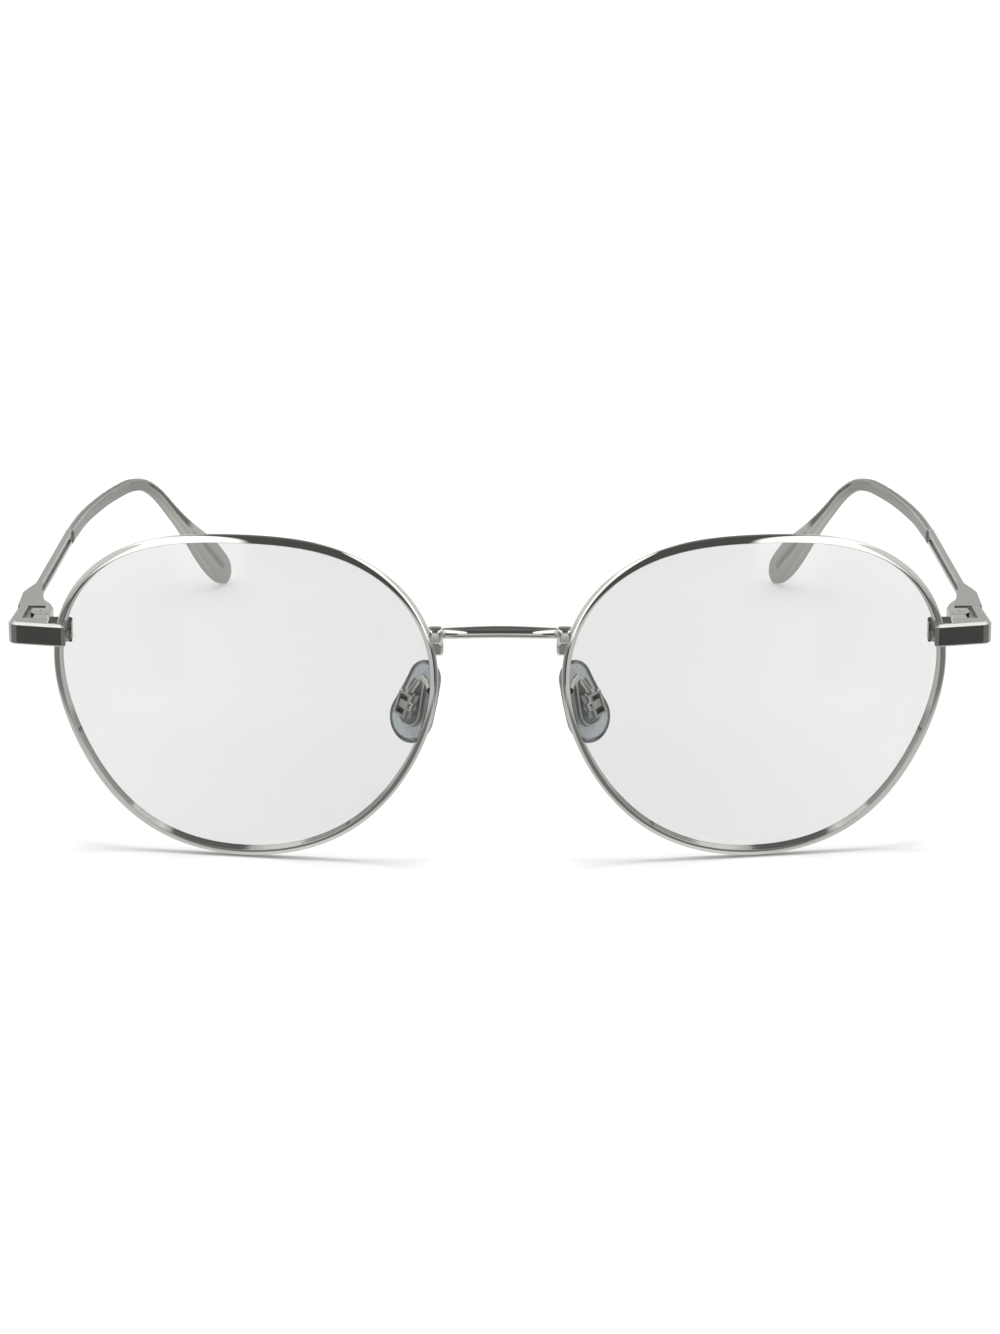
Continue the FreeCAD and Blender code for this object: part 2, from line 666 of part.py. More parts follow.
make_hinge_front()
hinge_rear = make_hinge_rear()
both(slotted_screw(
    "hinge_screw", TEMPLE, dim.hinge_x, dim.hinge_y,
    seat=-(dim.knuckle_top + dim.knuckle_play),
    pin_top=dim.knuckle_top - dim.hinge_pin_short,
    pin_r=dim.hinge_pin_r, head_r=dim.hinge_head_r, head_tall=dim.hinge_head_tall,
    slot_half=dim.hinge_slot_half), "hinge_screws")

# ---------------------------------------------------------------- temple
blade_mid = (dim.blade_in + dim.blade_out) / 2
blade_in_y0 = dim.blade_y0 + dim.blade_in_lag


def make_temple():
    body = new_body("temple_body", TEMPLE)
    plan = polygon(body, "temple_plan", [
        (dim.seam_x, dim.seam_y), (dim.root_in_x0, dim.seam_y),
        (dim.root_in_x1, dim.root_in_y1), (dim.root_in_x2, dim.root_in_y2),
        (dim.blade_in, blade_in_y0), (dim.blade_in, dim.blade_y1),
        (dim.blade_out, dim.blade_y1), (dim.blade_out, dim.blade_y0),
        (dim.root_out_x2, dim.root_out_y2), (dim.root_out_x1, dim.root_out_y1)])
    pad_out(body, "temple_pad", plan, -half_tall, half_tall)

    # the underside rises from the root to the blade
    side = polygon(body, "temple_side", [
        (dim.root_out_y1, -half_tall), (dim.blade_y0, -dim.blade_drop),
        (dim.blade_y1 + 1, -dim.blade_drop), (dim.blade_y1 + 1, -half_tall - 1),
        (dim.root_out_y1, -half_tall - 1)], "YZ_Plane")
    pocket(body, "temple_underside", side, length=20, midplane=True)

    # channel along the inner face, drawn from beyond the face to the channel's floor
    over, deep = dim.channel_over, dim.channel_deep
    channel = polygon(body, "temple_channel", [
        (dim.root_in_x1 + over, dim.channel_y0 - dim.channel_mouth_y),
        (dim.root_in_x2 + over, dim.root_in_y2),
        (dim.blade_in + over, blade_in_y0), (dim.blade_in + over, dim.channel_y1),
        (dim.blade_in, dim.channel_y1),
        (dim.blade_in - deep, dim.channel_y1 - dim.channel_end_slope),
        (dim.blade_in - deep, blade_in_y0), (dim.root_in_x2 - deep, dim.root_in_y2),
        (dim.root_in_x1 - dim.channel_floor_x - deep, dim.channel_y0 + dim.channel_floor_y)])
    set_height(channel, dim.channel_z)
    pocket(body, "temple_channel_cut", channel, length=dim.channel_tall, midplane=True)

    # core wire that runs on into the tip
    core = circle(body, "temple_core", blade_mid, dim.channel_z, dim.core_r, "XZ_Plane")
    pad_out(body, "temple_core_pad", core,
            -(dim.blade_y1 + dim.core_long), -(dim.blade_y1 - dim.core_lap))
    pair(cut("temple_fitted", body, hinge_rear), "temple")


def tip_section(body, key):
    """One station of the tip, turned by its pitch and yaw."""
    x, y, z, pitch, yaw, thick, tall = [
        getattr(dim, "tip_%s_%s" % (key, column)) for column in TIP_COLUMNS]
    sketch = polygon(body, "tip_" + key, octagon(
        0, 0, thick / 2, tall / 2, thick * dim.tip_cut_thick, tall * dim.tip_cut_tall),
        "XZ_Plane")
    xz_plane = FreeCAD.Placement(Vector(0, 0, 0), turn_x(90))
    turn = turn_z(yaw.value).multiply(turn_x(pitch.value))
    station = FreeCAD.Placement(
        Vector(x.value, y.value, z.value), turn.multiply(xz_plane.Rotation))
    sketch.AttachmentOffset = xz_plane.inverse().multiply(station)
    sketch.setExpression(".AttachmentOffset.Base.x", x.text)
    sketch.setExpression(".AttachmentOffset.Base.y", z.text)
    set_height(sketch, -y)
    return sketch


def make_tip():
    body = new_body("tip_body", TEMPLE)
    loft(body, "tip_loft", [tip_section(body, row[0]) for row in TIP])
    bore = circle(body, "tip_bore", blade_mid, dim.channel_z, dim.core_r, "XZ_Plane")
    set_height(bore, -dim.blade_y1)
    pocket(body, "tip_bore_cut", bore, dim.core_long)
    pair(body, "temple_tip")


make_temple()
make_tip()

# ---------------------------------------------------------------- nose pads
half_box_wide, half_box_tall = dim.box_wide / 2, dim.box_tall / 2


def pin_circle(body, name, radius):
    """Circle about the pad screw's axis, which runs across the pad."""
    return circle(body, name, dim.box_x, dim.core_z, radius, "XZ_Plane")


def make_core():
    """A plate inside the pad, with a bored lug on the side away from the nose."""
    body = new_body("core_body", PAD)
    scale = dim.core_scale
    plate = capsule(body, "core_outline", dim.pad_low_z * scale, dim.pad_low_r * scale,
                    dim.pad_high_z * scale, dim.pad_high_r * scale)
    pad_out(body, "core_plate_pad", plate,
            -(dim.core_plate + dim.core_face), -dim.core_face)
    half_wide, half_high = dim.lug_wide / 2, dim.lug_tall / 2
    lug = rectangle(body, "core_lug", -half_wide, dim.core_z - half_high,
                    half_wide, dim.core_z + half_high, "YZ_Plane")
    pad_out(body, "core_lug_pad", lug, dim.lug_front, dim.lug_root)
    bore = pin_circle(body, "core_bore", dim.pad_bore_r)
    pocket(body, "core_bore_cut", bore, length=8, midplane=True)
    return body


def make_pad(core):
    body = new_body("pad_body", PAD)
    sketch = capsule(body, "pad_outline", dim.pad_low_z, dim.pad_low_r,
                     dim.pad_high_z, dim.pad_high_r)
    block = pad_out(body, "pad_block", sketch, -(dim.pad_thick / 2), dim.pad_thick / 2)
    rims = edges_of(block, lambda e: e.BoundBox.XMax - e.BoundBox.XMin < TOUCH)
    dress(body, "Fillet", "pad_soft_edge", block, rims, dim.pad_round)
    pair(cut("pad_fitted", body, core), "nose_pad")


def make_box():
    """A rectangular frame round the core's lug."""
    body = new_body("box_body", PAD)
    low, high = dim.core_z - half_box_tall, dim.core_z + half_box_tall
    wall = dim.box_wall
    block = rectangle(body, "box_outline", -half_box_wide, low, half_box_wide, high,
                      "YZ_Plane")
    pad_out(body, "box_block", block,
            dim.box_x - dim.box_deep / 2, dim.box_x + dim.box_deep / 2)
    window = rectangle(body, "box_window", wall - half_box_wide, low + wall,
                       half_box_wide - wall, high - wall, "YZ_Plane")
    pocket(body, "box_window_cut", window, length=12, midplane=True)
    bore = pin_circle(body, "box_bore", dim.pad_pin_r)
    pocket(body, "box_bore_cut", bore, length=8, midplane=True)
    pair(body, "pad_box")
    return body


def make_pad_screw():
    body = new_body("pad_screw_body", PAD)
    shank = pin_circle(body, "pad_screw_shank", dim.pad_pin_r)
    pad_out(body, "pad_screw_pin", shank, -half_box_wide, half_box_wide)
    head = pin_circle(body, "pad_screw_round", dim.pad_head_r)
    pad_out(body, "pad_screw_head", head, half_box_wide, half_box_wide + dim.pad_head_tall)
    both(body, "pad_screws")


pad_core = make_core()
make_pad(pad_core)
pair(pad_core, "pad_core")
pad_box = make_box()
make_pad_screw()


# ---------------------------------------------------------------- pad arm
def make_arm():
    """A bent wire in one plane through its foot on the rim, its top and the box."""
    foot = Vector(num.arm_foot_x, num.arm_foot_y, num.arm_foot_z) + SHIFT
    top = Vector(num.arm_top_x, num.arm_top_y, num.arm_top_z) + SHIFT
    end = PAD.multVec(Vector(num.box_x, 0, num.core_z + num.box_tall / 2 - num.arm_lap))
    along = (end - foot).normalize()
    normal = along.cross(top - foot).normalize()
    across = normal.cross(along)
    body = new_body("arm_body",
                    FreeCAD.Placement(foot, FreeCAD.Rotation(along, across, normal)))

    def flat(point):
        offset = point - foot
        return Vector(offset.dot(along), offset.dot(across), 0)

    start, top, end = flat(foot), flat(top), flat(end)
    path = new_sketch(body, "arm_path", "XY_Plane")
    bend = Part.BSplineCurve()
    # through points, set off from the straight legs to round the bend
    bend.interpolate([
        start,
        start + (top - start) * 0.5 + Vector(-0.5, 0.1, 0),
        top + Vector(-0.55, -0.25, 0),
        top + Vector(0.35, 0.0, 0),
        top + (end - top) * 0.55 + Vector(0.25, 0.3, 0),
        end])
    path.addGeometry(bend, False)
    path.addConstraint(Sketcher.Constraint("Block", 0))

    # the wire's section stands square to the start of the path
    heading = bend.tangent(bend.FirstParameter)[0]
    upright = Vector(0, 0, 1)
    section = circle(body, "arm_round", 0, 0, dim.arm_r)
    section.AttachmentOffset = FreeCAD.Placement(
        start, FreeCAD.Rotation(upright.cross(heading), upright, heading))
    pipe = body.newObject("PartDesign::AdditivePipe", "arm_pipe")
    pipe.Profile = section
    pipe.Spine = (path, ["Edge1"])
    doc.recompute()
    pair(cut("arm_fitted", cut("arm_at_rim", body, blank), pad_box), "pad_arm")


make_arm()

# ---------------------------------------------------------------- checks and files
doc.recompute()
bad = [o.Name for o in doc.Objects if "Invalid" in o.State or "Error" in o.State]
if bad:
    raise RuntimeError("broken features: %s" % bad)
if len({node.Label for node in NODES}) != len(NODES):
    raise RuntimeError("a label is used twice")
for node in NODES:
    shape = node.Shape
    if shape.isNull() or not shape.isValid() or not shape.Solids:
        raise RuntimeError("bad shape: " + node.Label)
    shape.exportStep("parts/%s.step" % node.Label)
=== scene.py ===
"""A pair of metal spectacles with clear lenses and silicone nose pads, on a white floor.

The wearer looks along -Y, towards the camera; +Z is up and X = 0 is the plane of symmetry.
"Right" pieces lie at negative X. Pieces are drawn in millimetres in the frames of the
assembly, on the right-hand side, and mirrored for the left.
"""
import math

import bmesh
import bpy
from mathutils import Matrix, Vector


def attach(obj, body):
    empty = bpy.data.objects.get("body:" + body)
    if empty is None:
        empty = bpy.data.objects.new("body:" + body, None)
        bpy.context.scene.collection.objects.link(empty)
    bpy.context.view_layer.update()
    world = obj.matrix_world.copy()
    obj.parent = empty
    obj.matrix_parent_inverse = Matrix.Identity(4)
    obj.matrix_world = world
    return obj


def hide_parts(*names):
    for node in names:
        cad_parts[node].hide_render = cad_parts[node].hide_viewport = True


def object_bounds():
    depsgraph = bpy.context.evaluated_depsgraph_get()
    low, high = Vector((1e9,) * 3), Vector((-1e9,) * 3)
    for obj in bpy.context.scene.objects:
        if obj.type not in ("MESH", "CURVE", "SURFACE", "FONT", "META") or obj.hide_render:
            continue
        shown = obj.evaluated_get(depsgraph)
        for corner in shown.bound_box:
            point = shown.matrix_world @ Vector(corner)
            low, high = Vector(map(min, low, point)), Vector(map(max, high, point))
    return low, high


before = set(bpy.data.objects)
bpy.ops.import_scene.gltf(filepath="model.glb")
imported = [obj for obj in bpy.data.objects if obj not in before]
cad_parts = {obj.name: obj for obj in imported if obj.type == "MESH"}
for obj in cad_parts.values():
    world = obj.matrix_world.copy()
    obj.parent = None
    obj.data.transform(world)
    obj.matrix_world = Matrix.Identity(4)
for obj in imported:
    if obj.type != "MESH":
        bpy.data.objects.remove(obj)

cad_low, cad_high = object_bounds()
scene = bpy.context.scene
MM = 0.001

# ------------------------------------------------------------------ frames of the assembly (mm)
ASSEMBLY_SHIFT = (0.0, -64.478, -0.0184)
TEMPLE_PLACE = (-63.1, 12.2, 30.62)
TEMPLE_TILT = 4.0  # degrees, the rear end lower
TEMPLE_SPLAY = 1.72  # degrees about the upright axis
SHIFT = Vector(ASSEMBLY_SHIFT)


def turn(axis, degrees):
    return Matrix.Rotation(math.radians(degrees), 4, axis)


def placed(x, y, z):
    return Matrix.Translation(Vector((x, y, z)) + SHIFT)


FRONT = Matrix.Translation(SHIFT) @ turn("X", 2.0)
LENS = FRONT @ Matrix.Translation((-35.332, 0.0, 23.427)) @ turn("Z", -8.5)
TEMPLE = placed(*TEMPLE_PLACE) @ turn("X", -TEMPLE_TILT) @ turn("Z", -TEMPLE_SPLAY)
PAD = placed(-11.35, 6.9, 20.75) @ turn("Y", 17.0) @ turn("Z", 45.0)
MIRROR = Matrix.Scale(-1.0, 4, (1, 0, 0))


# ------------------------------------------------------------------ node helpers
class Tree:
    """Builds a node tree with one call per node. Inputs take a value or a socket to link."""

    def __init__(self, owner, output):
        owner.use_nodes = True
        self.tree = owner.node_tree
        self.tree.nodes.clear()
        self.count = 0
        self.output = self.node(output)

    def node(self, kind, inputs=None, **props):
        n = self.tree.nodes.new(kind)
        n.location = (self.count * 180 - 1800, -(self.count % 7) * 120)
        self.count += 1
        for key, value in props.items():
            setattr(n, key, value)
        for key, value in (inputs or {}).items():
            if isinstance(value, bpy.types.NodeSocket):
                self.tree.links.new(value, n.inputs[key])
            else:
                n.inputs[key].default_value = value
        return n

    def surface(self, shader):
        self.tree.links.new(shader, self.output.inputs["Surface"])

    def position(self):
        return self.node("ShaderNodeTexCoord").outputs["Object"]

    def math(self, op, a, b=0.0):
        return self.node("ShaderNodeMath", {0: a, 1: b, 2: 0.0}, operation=op).outputs[0]

    def plus(self, a, b):
        return self.math("ADD", a, b)

    def minus(self, a, b):
        return self.math("SUBTRACT", a, b)

    def times(self, a, b):
        return self.math("MULTIPLY", a, b)

    def dot(self, a, b):
        n = self.node("ShaderNodeVectorMath", {0: a, 1: b}, operation="DOT_PRODUCT")
        return n.outputs["Value"]

    def ramp(self, value, start, end, at_start=0.0, at_end=1.0):
        """Eased change between two levels as the value goes from start to end."""
        n = self.node("ShaderNodeMapRange",
                      {"Value": value, "From Min": start, "From Max": end,
                       "To Min": at_start, "To Max": at_end},
                      interpolation_type="SMOOTHSTEP", clamp=True)
        return n.outputs["Result"]

    def mix(self, factor, a, b):
        return self.node("ShaderNodeMix", {0: factor, 6: a, 7: b}, data_type="RGBA").outputs[2]

    def mix_level(self, factor, a, b):
        return self.node("ShaderNodeMix", {0: factor, 2: a, 3: b}, data_type="FLOAT").outputs[0]

    def mix_shader(self, factor, a, b):
        return self.node("ShaderNodeMixShader", {0: factor, 1: a, 2: b}).outputs[0]

    def colour(self, red, green, blue):
        return self.node("ShaderNodeCombineColor", {0: red, 1: green, 2: blue}).outputs[0]

    def tinted(self, level, tint):
        return self.colour(*[self.times(level, share) for share in tint])

    def noise(self, vector, scale, detail=3.0, rough=0.5, distort=0.0):
        n = self.node("ShaderNodeTexNoise",
                      {"Vector": vector, "Scale": scale, "Detail": detail,
                       "Roughness": rough, "Distortion": distort})
        return n.outputs["Fac"]


def material(name):
    m = bpy.data.materials.new(name)
    return m, Tree(m, "ShaderNodeOutputMaterial")


# ------------------------------------------------------------------ metal
def grey(level, blue=0.965):
    """Grey whose blue share sets how warm it is."""
    return (level, level, level * blue, 1.0)


def channel_painted_shade(t, position, plate):
    """Painted shade and reflection in the channel along the inner side of the blade: a dark
    outline, a bright band and a dark middle, by distance from the channel's edge."""
    middle_y, half_straight, middle_z, radius = 30.65, 21.225, 0.52, 0.43  # mm, temple frame
    inner_x = -3.05  # the blade drifts outwards from front to back but stays outside this x
    part = t.node("ShaderNodeSeparateXYZ", {0: position}).outputs
    # millimetres from the temple's origin, both temples folded onto the right-hand one
    scaled = [t.times(t.math("ABSOLUTE", part[0]), -1 / MM),
              t.times(part[1], 1 / MM), t.times(part[2], 1 / MM)]
    origin = [a + b for a, b in zip(TEMPLE_PLACE, ASSEMBLY_SHIFT)]
    offset = {i: t.plus(scaled[i], -origin[i]) for i in range(3)}
    where = t.node("ShaderNodeCombineXYZ", offset).outputs[0]
    # the axes of the temple frame
    tilt, splay = math.radians(TEMPLE_TILT), math.radians(TEMPLE_SPLAY)
    cos_tilt, sin_tilt = math.cos(tilt), math.sin(tilt)
    cos_splay, sin_splay = math.cos(splay), math.sin(splay)
    x = t.dot(where, (cos_splay, -sin_splay * cos_tilt, sin_splay * sin_tilt))
    y = t.dot(where, (sin_splay, cos_splay * cos_tilt, -cos_splay * sin_tilt))
    z = t.dot(where, (0, sin_tilt, cos_tilt))

    from_middle = t.math("ABSOLUTE", t.minus(y, middle_y))
    beyond = t.math("MAXIMUM", t.minus(from_middle, half_straight), 0.0)
    rise = t.minus(z, middle_z)
    distance = t.math("SQRT", t.plus(t.times(beyond, beyond), t.times(rise, rise)))
    depth = t.minus(radius, distance)
    inner = t.math("GREATER_THAN", x, inner_x)
    inside = t.times(t.math("GREATER_THAN", depth, -0.03), inner)
    # painted shade at the channel's edge and down its middle, a band of painted reflection
    # between
    tone = t.ramp(depth, start=0.09, end=0.13, at_start=0.05, at_end=0.78)
    middle_tone = 0.10
    tone = t.mix_level(t.ramp(depth, start=0.24, end=0.28), tone, middle_tone)
    return t.mix(inside, plate, t.colour(tone, tone, tone))


def metal_roughness(t, position, rough):
    """Base roughness with handling marks and a fine mottle, as shares of it."""
    base_share, marks_share, fine_share = 0.85, 0.35, 0.25
    marks = t.ramp(t.noise(position, scale=210.0, detail=5.0, rough=0.62, distort=0.4),
                   start=0.42, end=0.78)
    fine = t.noise(position, scale=2600.0, detail=2.0)
    extra = t.plus(t.times(marks, rough * marks_share), t.times(fine, rough * fine_share))
    return t.plus(extra, rough * base_share)


def metal_relief(t, position, normal, grain, scratch):
    """Polishing lines stretched by the grain, less a few stray scratches."""
    lines_height, stray_height = 0.6, 0.4
    stretched = t.node("ShaderNodeMapping", {"Vector": position, "Scale": grain}).outputs[0]
    lines = t.noise(stretched, scale=8.0, detail=5.0, rough=0.65)
    cells = t.node("ShaderNodeTexVoronoi", {"Vector": position, "Scale": 260.0},
                   feature="DISTANCE_TO_EDGE")
    cracks = t.ramp(cells.outputs["Distance"], start=0.0, end=0.012, at_start=1.0, at_end=0.0)
    areas = t.ramp(t.noise(position, scale=120.0, detail=2.0), start=0.55, end=0.65)
    stray = t.times(cracks, areas)
    height = t.minus(t.times(lines, lines_height), t.times(stray, stray_height))
    bump = {"Strength": scratch, "Distance": 0.004 * MM, "Height": height, "Normal": normal}
    return t.node("ShaderNodeBump", bump).outputs[0]


def metal(name, level, rough, grain=(400, 400, 400), wear=0.2, scratch=0.12, edge=0.05,
          channel=False, inlay=False, painted_shade_reach=0.0):
    """Plated or lacquered metal.

    level: brightness; grain: stretch of the polishing lines; wear: brightening of the edges;
    scratch: bump strength; edge: radius of the rounded edges, mm; channel: painted shade and
    painted reflection in the blade's channel; inlay: painted dark reflection, by the "inlay"
    attribute; cavity: reach of the painted shade in recesses, mm.
    """
    m, t = material(name)
    position = t.position()
    true_normal = t.node("ShaderNodeNewGeometry").outputs["Normal"]
    rounded = t.node("ShaderNodeBevel", {"Radius": edge * MM}, samples=6).outputs[0]
    # worn edges: where the rounded normal leaves the true one
    turned = t.minus(1.0, t.dot(rounded, true_normal))
    patches = t.noise(position, scale=900.0, detail=4.0, rough=0.7)
    worn = t.times(t.ramp(turned, start=0.01, end=0.16), t.ramp(patches, start=0.35, end=0.7))
    # slow drift of colour over the plating
    darker, lighter = grey(level * 0.94), grey(min(1.0, level * 1.05))
    plate = t.mix(t.noise(position, scale=55.0, rough=0.55), darker, lighter)
    bare = grey(min(1.0, level * 1.35 + 0.05), blue=0.985)
    colour = t.mix(t.times(worn, wear), plate, bare)
    # painted shade and painted reflection in the blade's channel
    if channel:
        colour = channel_painted_shade(t, position, colour)
    # painted shade: the colour goes to near black in recesses, by ambient occlusion
    if painted_shade_reach:
        hollow = t.node("ShaderNodeAmbientOcclusion", {"Distance": painted_shade_reach * MM}, samples=6)
        open_air = t.ramp(hollow.outputs["AO"], start=0.30, end=0.62)
        colour = t.mix(open_air, grey(0.03), colour)
    # painted dark reflection: the mesh attribute darkens the colour in the tip's grooves and on
    # its front part
    if inlay:
        mask = t.node("ShaderNodeAttribute", attribute_name="inlay").outputs["Fac"]
        colour = t.mix(mask, colour, grey(level * 0.30))
    shader = t.node("ShaderNodeBsdfPrincipled", {
        "Metallic": 1.0,
        "Base Color": colour,
        "Roughness": metal_roughness(t, position, rough),
        "Normal": metal_relief(t, position, rounded, grain, scratch),
    })
    t.surface(shader.outputs[0])
    return m


# ------------------------------------------------------------------ clear materials and floor
def lens_material():
    """Clear lens with a faint grey cast, a thin surface reflection and faint wiping marks."""
    m, t = material("lens_clear")
    position = t.position()
    x = t.math("ABSOLUTE", t.dot(position, (1, 0, 0)))
    # the cast deepens slightly towards the nose
    cast = t.ramp(x, start=0.012, end=0.058, at_start=0.848, at_end=0.888)
    clouds = 0.006
    cast = t.plus(cast, t.times(t.noise(position, scale=18.0, detail=2.0), clouds))
    clear = t.node("ShaderNodeBsdfTransparent", {"Color": t.tinted(cast, (1.0, 1.0, 1.0))})
    smear = t.ramp(t.noise(position, scale=90.0, detail=4.0, rough=0.6, distort=0.6),
                   start=0.5, end=0.8, at_start=0.02, at_end=0.07)
    gloss = t.node("ShaderNodeBsdfGlossy", {"Roughness": smear, "Color": (1, 1, 1, 1)})
    fresnel = t.node("ShaderNodeFresnel", {"IOR": 1.5}).outputs[0]
    coating = 0.55  # share of the reflection that is kept
    share = t.times(fresnel, coating)
    t.surface(t.mix_shader(share, clear.outputs[0], gloss.outputs[0]))
    return m


def pad_material():
    """Clear silicone: see-through, darker where seen edge-on, with specks and a soft sheen."""
    m, t = material("pad_clear")
    position = t.position()
    facing = t.node("ShaderNodeLayerWeight", {"Blend": 0.35}).outputs["Facing"]
    edge_on = t.ramp(facing, start=0.62, end=0.98)
    haze = t.noise(position, scale=420.0, detail=4.0, rough=0.6)
    face_on_colour = t.mix(haze, (0.70, 0.735, 0.745, 1), (0.76, 0.79, 0.80, 1))
    tint = t.mix(edge_on, face_on_colour, (0.16, 0.165, 0.16, 1))
    clear = t.node("ShaderNodeBsdfTransparent", {"Color": tint})
    milk = t.node("ShaderNodeBsdfPrincipled",
                  {"Base Color": (0.50, 0.535, 0.545, 1), "Roughness": 0.45})
    sheen = t.ramp(t.noise(position, scale=800.0), start=0.3, end=0.8, at_start=0.08, at_end=0.22)
    specks = {"Strength": 0.2, "Distance": 0.01 * MM, "Height": t.noise(position, scale=1500.0)}
    bump = t.node("ShaderNodeBump", specks)
    gloss = t.node("ShaderNodeBsdfGlossy", {"Roughness": sheen, "Normal": bump.outputs[0]})
    fresnel = t.node("ShaderNodeFresnel", {"IOR": 1.42})
    milkiness = 0.16
    body = t.mix_shader(milkiness, clear.outputs[0], milk.outputs[0])
    t.surface(t.mix_shader(fresnel.outputs[0], body, gloss.outputs[0]))
    return m


def floor_material():
    m, t = material("floor_white")
    clouds = t.noise(t.position(), scale=4.0)
    colour = t.mix(clouds, (0.80, 0.80, 0.80, 1), (0.82, 0.82, 0.82, 1))
    t.surface(t.node("ShaderNodeBsdfDiffuse", {"Color": colour}).outputs[0])
    return m


wire = metal("wire_plate", level=0.88, rough=0.025, grain=(900, 900, 60), wear=0.15,
             scratch=0.06, edge=0.04)
satin = metal("satin_plate", level=0.70, rough=0.085, grain=(900, 40, 900), wear=0.3,
              scratch=0.14, edge=0.08)
temple_skin = metal("temple_plate", level=0.68, rough=0.14, grain=(900, 40, 900), wear=0.3,
                    scratch=0.2, edge=0.08, channel=True)
steel = metal("bright_steel", level=0.80, rough=0.06)
core_skin = metal("core_plate", level=0.97, rough=0.40, edge=0.10)
foot_skin = metal("foot_plate", level=0.97, rough=0.15)
bead_skin = metal("bead_plate", level=0.98, rough=0.03, scratch=0.08)
# box_plate: painted shade in its recesses
box_skin = metal("box_plate", level=0.90, rough=0.04, scratch=0.10, painted_shade_reach=0.9)
# tip_plate: painted dark reflection from the mesh attribute
tip_skin = metal("tip_plate", level=0.70, rough=0.20, grain=(500, 60, 500), scratch=0.15,
                 edge=0.12, inlay=True)
glass = lens_material()
silicone = pad_material()

# material of each CAD piece, without its side
LOOK = {
    "eyewire": wire, "bridge": wire, "bridge_foot": wire, "pad_arm": box_skin,
    "endpiece": satin, "temple": temple_skin, "temple_tip": tip_skin,
    "rim_lock_upper": steel, "rim_lock_lower": steel, "closing_screws": steel,
    "hinge_front": steel, "hinge_rear": steel, "hinge_screws": steel,
    "pad_core": core_skin, "pad_box": box_skin, "pad_screws": box_skin,
    "lens": glass, "nose_pad": silicone,
}

for name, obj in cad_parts.items():
    obj.data.materials.clear()
    obj.data.materials.append(LOOK[name.removesuffix("_right").removesuffix("_left")])
    obj.data.shade_smooth()
    obj.data.set_sharp_from_angle(angle=math.radians(32.0))


# ------------------------------------------------------------------ mesh helpers
def piece(name, shape, space, body, look, replaced, left=False, sharp=None, inlay=None):
    """Object on its body from (vertices, faces) given in millimetres in one of the frames."""
    verts, faces = shape
    side = MIRROR if left else Matrix.Identity(4)
    to_world = Matrix.Scale(MM, 4) @ side @ space
    mesh = bpy.data.meshes.new(name)
    points = [tuple(to_world @ Vector(v)) for v in verts]
    mesh.from_pydata(points, [], [f[::-1] if left else f for f in faces])
    mesh.update()
    if inlay:
        layer = mesh.attributes.new("inlay", "FLOAT", "POINT")
        layer.data.foreach_set("value", inlay)
    bm = bmesh.new()
    bm.from_mesh(mesh)
    bmesh.ops.recalc_face_normals(bm, faces=bm.faces)
    bm.to_mesh(mesh)
    bm.free()
    mesh.materials.append(look)
    obj = bpy.data.objects.new(name, mesh)
    scene.collection.objects.link(obj)
    mesh.shade_smooth()
    if sharp:
        mesh.set_sharp_from_angle(angle=math.radians(sharp))
    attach(obj, body)
    for node in replaced:
        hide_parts(node)
    return obj


def pair(name, shape, space, body, look, replaced, sharp=None, inlay=None):
    """The piece on both sides; a body name ending in "_" takes the side's name as well."""
    return [
        piece(f"{name}_{side}", shape, space, body + side if body.endswith("_") else body, look,
              [f"{replaced}_{side}"] if replaced else [], side == "left", sharp, inlay)
        for side in ("right", "left")
    ]


def tube(rings, closed=False):
    """(vertices, faces) joining rings of equal length; an open tube gets fan caps."""
    verts = [v for ring in rings for v in ring]
    size = len(rings[0])
    faces = []
    for i in range(len(rings) if closed else len(rings) - 1):
        a, b = i * size, ((i + 1) % len(rings)) * size
        for j in range(size):
            k = (j + 1) % size
            faces.append((a + j, a + k, b + k, b + j))
    if not closed:
        for base, flip in ((0, True), ((len(rings) - 1) * size, False)):
            centre = len(verts)
            points = [Vector(verts[base + j]) for j in range(size)]
            verts.append(tuple(sum(points, Vector()) / size))
            for j in range(size):
                triangle = (base + j, base + (j + 1) % size, centre)
                faces.append(triangle[::-1] if flip else triangle)
    return verts, faces


def squared(value, half, power):
    """Superellipse coordinate for a sine or cosine."""
    return math.copysign(half * abs(value) ** (2 / power), value)


def superellipse(half_u, half_v, power, count):
    angles = [2 * math.pi * i / count for i in range(count)]
    return [(squared(math.cos(a), half_u, power), squared(math.sin(a), half_v, power))
            for a in angles]


def ease(value, start, end):
    """0 at start, 1 at end, eased; start may be above end."""
    k = max(0.0, min(1.0, (value - start) / (end - start)))
    return k * k * (3 - 2 * k)


# ------------------------------------------------------------------ rims
RIM_RADIUS = 24.608
# cosine and sine terms added to the radius, for 1 to 5 waves round the rim
RIM_WAVES = [(0.074, 0.906), (1.51, 0.039), (0.112, 1.072), (-0.341, -0.059), (0.028, 0.128)]
RIM_SPHERE = 150.0  # radius of the sphere the rim lies on
RIM_STEPS = 420
WIRE_STEPS = 48
WIRE_HALF_DEPTH = 0.70
WIRE_SPLIT = -0.50  # where the two halves of the section meet, from the centre line
WIRE_OUTER = (1.05, 2.5)  # reach and power of the rounded outer half
WIRE_INNER = (0.05, 14.0)  # the same for the flat inner half
SLIT_PLACE = (-62.0, 5.8, 31.15)  # front frame; sets the height of the slit
SLIT_HALF_ANGLE = 0.06 / 24.0  # half gap over nominal radius


